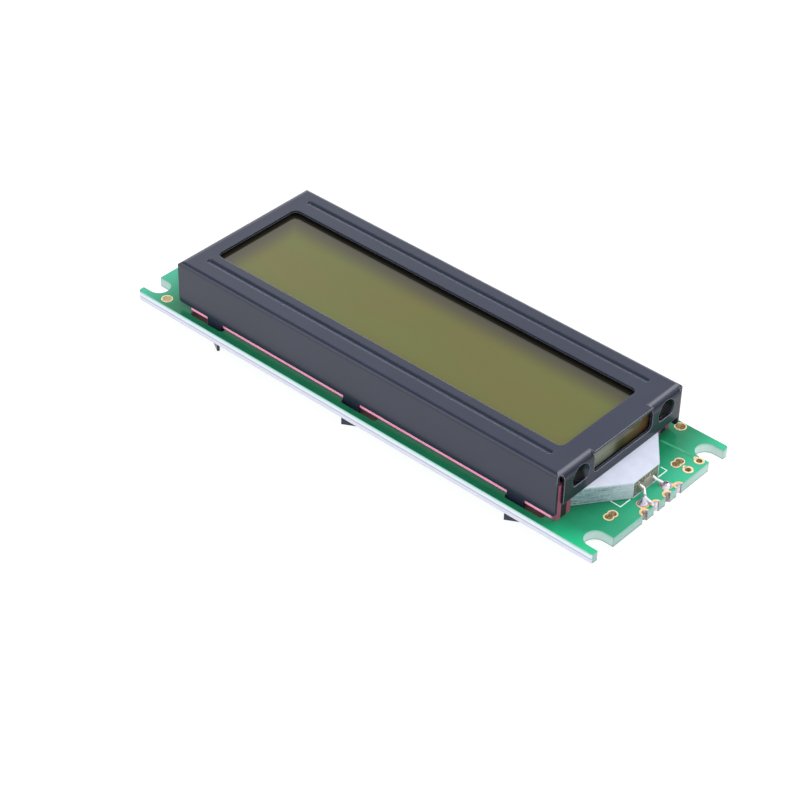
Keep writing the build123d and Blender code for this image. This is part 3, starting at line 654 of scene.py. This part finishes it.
def make_pad_tails():
    """Tear-shaped tails on the two small pads, and copper that joins the lamp pads to the edge contacts."""
    pads_and_tips = (((41.38, 9.76), (40.42, 9.96)), ((41.38, 7.22), (40.45, 7.42)))
    tail_start, tail_half, tip_half, tip_reach = 0.56, 0.5, 0.14, 0.1
    joins = (((41.14, 2.55), (42.1, 3.55)), ((41.3, 2.2), (42.05, 1.55)),
             ((41.3, -2.9), (42.05, -3.5)), ((41.5, -2.2), (42.05, -1.7)))
    join_width, join_drop = 0.62, 0.004
    grid = bmesh.new()
    for pad, end in pads_and_tips:
        centre, tip = Vector(pad), Vector(end)
        heading = (tip - centre).normalized()
        beside = Vector((-heading.y, heading.x))
        start = centre + heading * tail_start
        outline = [start + beside * tail_half, start - beside * tail_half,
                   tip - beside * tip_half, tip + heading * tip_reach, tip + beside * tip_half]
        add_prism(grid, outline, BOARD_TOP - PRINT_SINK, PAD_TOP)
    for join in joins:
        add_prism(grid, line_outline(join, join_width), BOARD_TOP - PRINT_SINK, PAD_TOP - join_drop)
    build_piece("pad_tails", grid, materials["plating"])


def make_tongue_foot():
    """White film under the tongue, which shows as a thin pale line below the resin."""
    root, root_half = WALL_END - 1.3, 9.6
    shoulder, shoulder_half = TONGUE_TIP - 0.35, 3.1
    nose, nose_half = TONGUE_TIP + 0.08, 2.6
    shift, board_gap, guide_gap = 0.15, 0.005, 0.002
    outline = [(root, -root_half), (shoulder, shift - shoulder_half), (nose, shift - nose_half),
               (nose, shift + nose_half), (shoulder, shift + shoulder_half), (root, root_half)]
    grid = bmesh.new()
    add_prism(grid, outline, BOARD_TOP + board_gap, GUIDE_BOTTOM - guide_gap)
    build_piece("tongue_foot", grid, materials["white_film"])


def make_lamp_back():
    """The lamp's smooth arched back, standing just proud of the rough resin."""
    centre, low, rise, half = 0.42, GUIDE_BOTTOM + 0.02, 1.72, 1.35
    steps, fullness = 16, 0.8
    arch = []
    for step in range(steps + 1):
        angle = pi * step / steps
        arch.append((half * cos(angle), rise * max(sin(angle), 0.0) ** fullness))
    # The arch shrinks a little over its three rings, which gives its rim a soft edge
    grid = bmesh.new()
    rings = []
    for share, x in ((1.0, TONGUE_TIP - 0.02), (0.99, TONGUE_TIP + 0.05), (0.93, TONGUE_TIP + 0.09)):
        rings.append([grid.verts.new((x, centre + y * share, low + z * share)) for y, z in arch])
    join_rings(grid, rings)
    build_piece("lamp_back", grid, materials["lamp_body"])


def make_cell_end():
    """A block just inside the port that shows the cell's end, with painted black shade on its lower part."""
    back, front, half, corner = CELL_END - 0.02, CELL_END + 0.7, 6.9, 0.12
    low, high = BEZEL_TOP - 4.7, BEZEL_TOP - 0.95
    outline = [(back, -half), (front - corner, -half), (front, corner - half),
               (front, half - corner), (front - corner, half), (back, half)]
    grid = bmesh.new()
    add_prism(grid, outline, low, high)
    build_piece("cell_end", grid, port_view())


def make_front_joint():
    """Solder drawn up the front lead like a tent from its pad."""
    foot = ((40.32, -3.12), (40.62, -3.38), (41.25, -3.46), (41.72, -3.15), (42.02, -2.7), (42.0, -2.3),
            (41.68, -1.95), (41.3, -1.72), (40.95, -1.55), (40.62, -1.6), (40.4, -2.0), (40.27, -2.6))
    middle, tip = Vector((41.12, -2.5)), Vector((40.98, -1.92))
    height, levels, tip_share, hollowing = 1.15, 9, 0.16, 1.7
    grid = bmesh.new()
    rings = []
    for level in range(levels + 1):
        share = level / levels
        pull = 1 - (1 - share) ** hollowing
        width = (1 - pull) * (1 - tip_share) + tip_share
        centre = middle.lerp(tip, pull)
        spots = [centre + (Vector(point) - middle) * width for point in foot]
        rings.append([grid.verts.new((spot.x, spot.y, PAD_TOP + height * share)) for spot in spots])
    join_rings(grid, rings)
    piece = build_piece("front_joint", grid, materials["solder"], smooth=True)
    rounding = piece.modifiers.new("rounding", "SUBSURF")
    rounding.levels = rounding.render_levels = 2
    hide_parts("solder_joint_front")


make_silkscreen()
make_trace()
make_pad_tails()
make_tongue_foot()
make_lamp_back()
make_cell_end()
make_front_joint()


# Floor, light and camera


def make_floor():
    """A large pale sheet under the module, with its half side in metres."""
    half = 3.0
    mesh = bpy.data.meshes.new("floor")
    corners = [(-half, -half, 0), (half, -half, 0), (half, half, 0), (-half, half, 0)]
    mesh.from_pydata(corners, [], [(0, 1, 2, 3)])
    floor = bpy.data.objects.new("floor", mesh)
    bpy.context.collection.objects.link(floor)
    paint(floor, floor_paper())


def make_light():
    """A bright studio round the module: an even tent with a few brighter and darker panels."""
    tent_colour = (0.975, 0.985, 1.0, 1.0)
    tent_level = 0.84
    # A brighter stretch that the left of the bezel's top mirrors, and a wide fill from the lamp end
    left_direction, left_level = (-0.80, 0.40, 0.45), 1.55
    fill_direction, fill_level = (0.72, -0.15, 0.68), 0.45
    # Panels that the folds mirror as bright and dark lines: direction, inner and outer angle, strength
    panels = (
        ((0.12, 0.6, 0.79), 6, 23, 6.0),
        ((-0.51, -0.26, 0.82), 10, 22, 0.02),
        ((-0.51, -0.80, 0.30), 9, 22, 2.4),
        ((-0.56, 0.82, 0.13), 6, 20, 2.9),
        ((0.78, 0.6, 0.18), 6, 20, 0.15),
    )
    world = bpy.data.worlds.new("studio")
    bpy.context.scene.world = world
    world.use_nodes = True
    tree = world.node_tree
    heading = add_node(tree, "ShaderNodeTexCoord").outputs["Generated"]

    def towards(direction, near, far):
        """1 for headings within the near angle of a direction, 0 beyond the far one, both in degrees."""
        agreement = dot_product(tree, heading, tuple(Vector(direction).normalized()))
        return remap(tree, agreement, cos(radians(far)), cos(radians(near)), ease="SMOOTHSTEP")

    level = remap(tree, towards(left_direction, 4, 23), 0.0, 1.0, tent_level, left_level)
    level = combine(tree, "ADD", level, product(tree, towards(fill_direction, 15, 70), fill_level))
    for direction, near, far, strength in panels:
        share = towards(direction, near, far)
        kept = product(tree, level, rest_of(tree, share))
        level = combine(tree, "ADD", kept, product(tree, share, strength))
    background = tree.nodes["Background"]
    background.inputs["Color"].default_value = tent_colour
    tree.links.new(level, background.inputs["Strength"])


def make_camera():
    """The photograph's view: standing at the front right, looking down and to the left."""
    spot = (166.608, -195.888, 200.264)
    side_turn, down_turn, roll = 41.04, 38.28, 1.37
    lens_mm, sensor_mm = 102.71, 36.0
    data = bpy.data.cameras.new("camera")
    data.lens = lens_mm
    data.sensor_width = sensor_mm
    data.clip_start, data.clip_end = 0.01, 20.0
    camera = bpy.data.objects.new("camera", data)
    bpy.context.collection.objects.link(camera)
    heading = Matrix.Rotation(radians(side_turn), 4, "Z")
    tilt = Matrix.Rotation(radians(90 - down_turn), 4, "X")
    spin = Matrix.Rotation(radians(roll), 4, "Z")
    camera.matrix_world = Matrix.Translation(Vector(spot) * MM) @ heading @ tilt @ spin
    bpy.context.scene.camera = camera
    bpy.context.scene.view_settings.view_transform = "Standard"


make_floor()
make_light()
make_camera()
